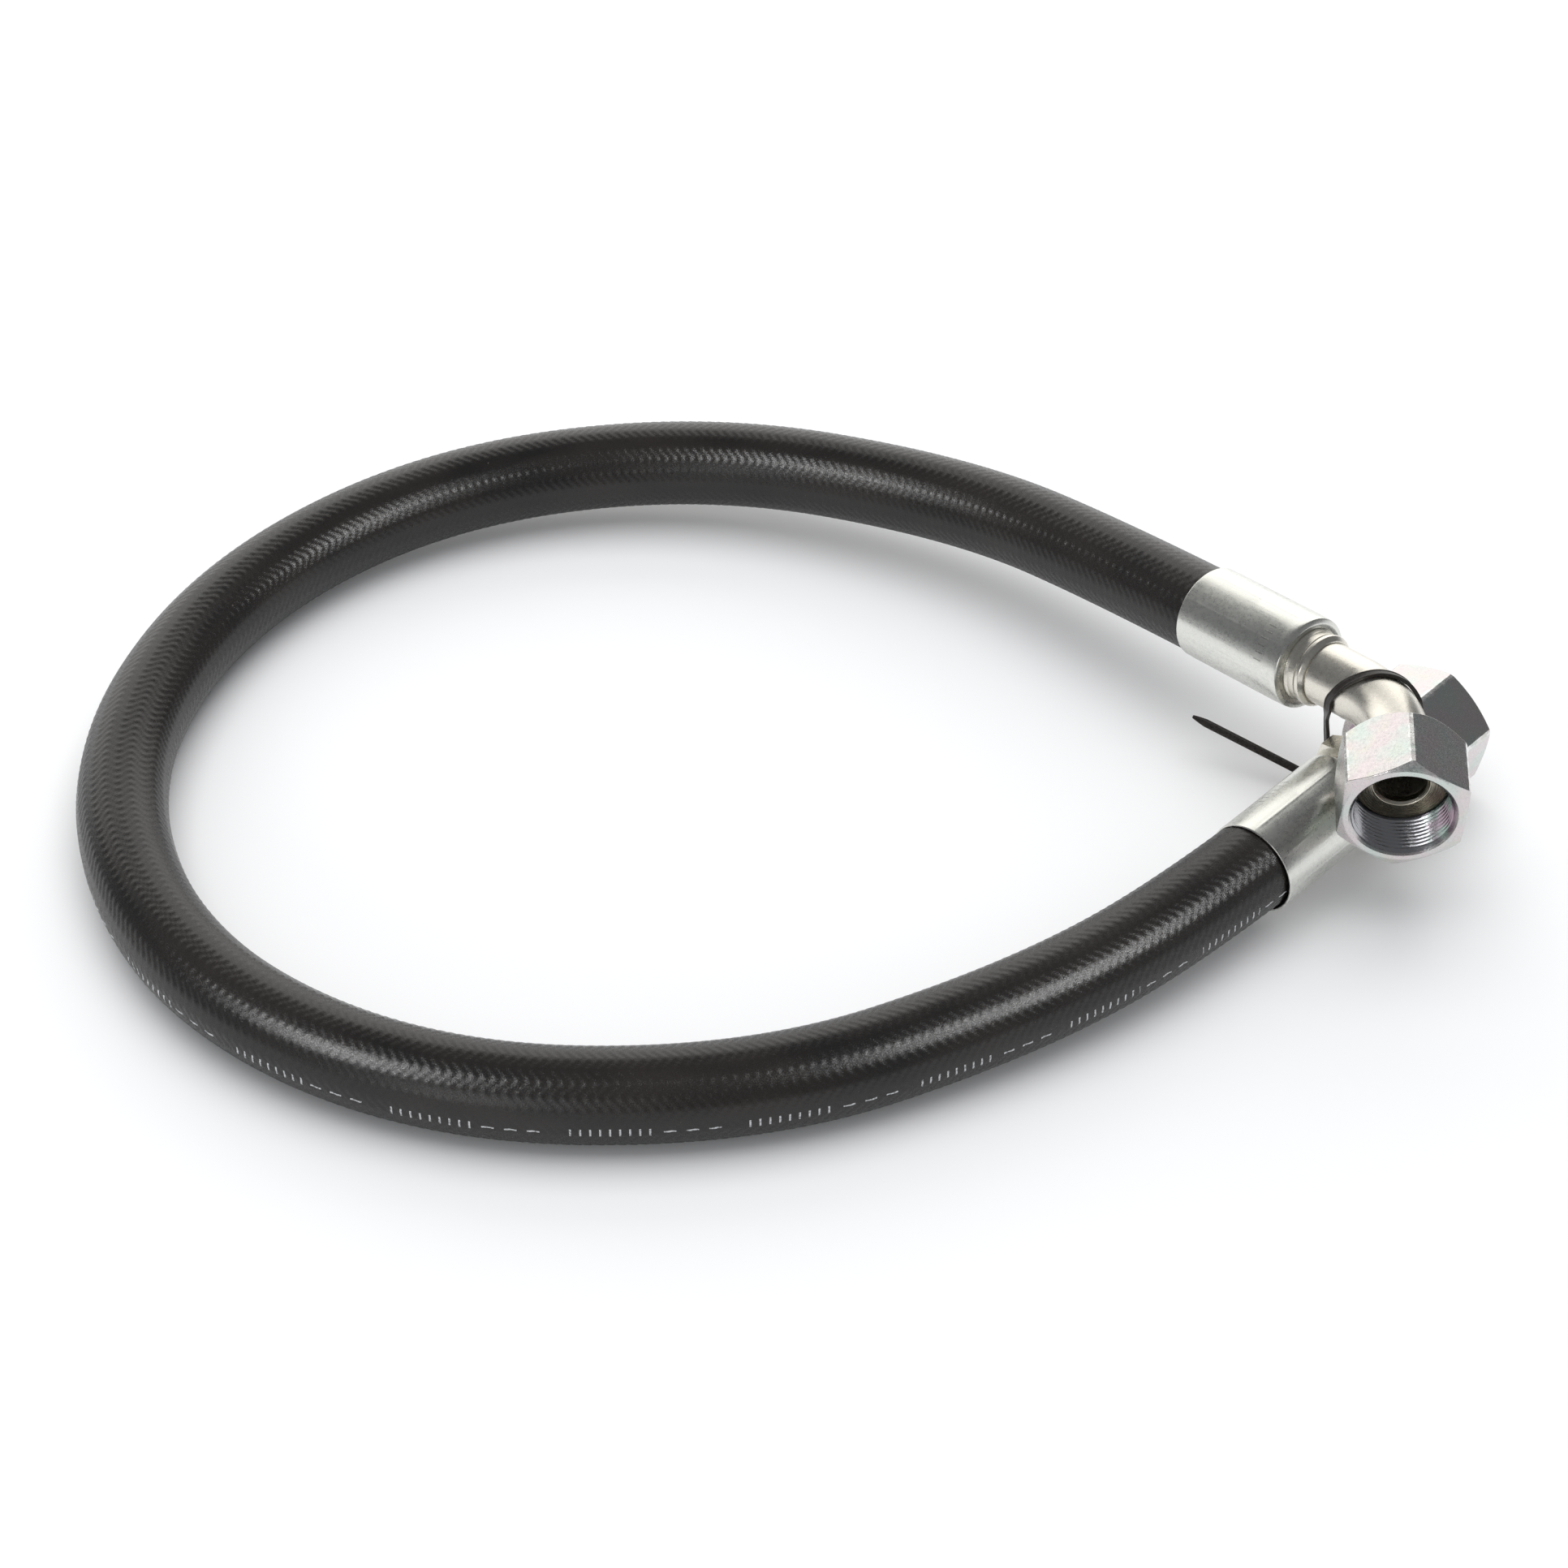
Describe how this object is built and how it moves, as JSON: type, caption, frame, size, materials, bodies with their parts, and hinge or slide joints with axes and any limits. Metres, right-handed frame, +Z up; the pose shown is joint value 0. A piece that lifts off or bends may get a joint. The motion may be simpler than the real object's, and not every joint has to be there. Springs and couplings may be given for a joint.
{
  "type": "hydraulic hose assembly",
  "caption": "Black rubber hydraulic hose bent into a flat loop, with crimped straight and angled steel ends, each carrying a hexagon swivel nut over a flat sealing face, held by a nylon tie.",
  "frame": {"origin": "under the middle of the assembly's bounding box, on the surface it lies on", "axes": "+X along the loop's long side towards the fittings, +Y across the loop away from the mouth of the elbow, +Z up"},
  "size_m": [0.4283, 0.3214, 0.0671],
  "materials": {
    "cover_rubber": "semi-gloss with a fine fabric-wrap relief",
    "liner_rubber": "matt",
    "braid_steel": "brass-coated wire braid",
    "plated_steel": "zinc plated, warm silver, drawn lines",
    "nut_steel": "blue-white zinc plated",
    "turned_steel": "face-turned, zinc plated",
    "nylon": "matt black nylon"
  },
  "bodies": {
    "hose": {"hose_liner": "liner_rubber", "wire_braid": "braid_steel", "hose_cover": "cover_rubber", "straight_ferrule": "plated_steel", "straight_hose_tail": "plated_steel", "straight_sleeve": "turned_steel", "elbow_ferrule": "plated_steel", "elbow_hose_tail": "plated_steel", "elbow_tube": "plated_steel", "elbow_sleeve": "turned_steel", "cable_tie": "nylon"},
    "straight_nut": {"straight_nut": "nut_steel"},
    "elbow_nut": {"elbow_nut": "nut_steel"}
  },
  "joints": [
    {"name": "straight_nut_swivel", "type": "hinge", "parent": "hose", "child": "straight_nut", "pos_m": [0.18982, -0.00219, 0.02118], "axis": [0.6919, 0.721, 0.038], "continuous": true},
    {"name": "elbow_nut_swivel", "type": "hinge", "parent": "hose", "child": "elbow_nut", "pos_m": [0.18, -0.04849, 0.04638], "axis": [-0.0731, -0.996, -0.0506], "continuous": true}
  ]
}
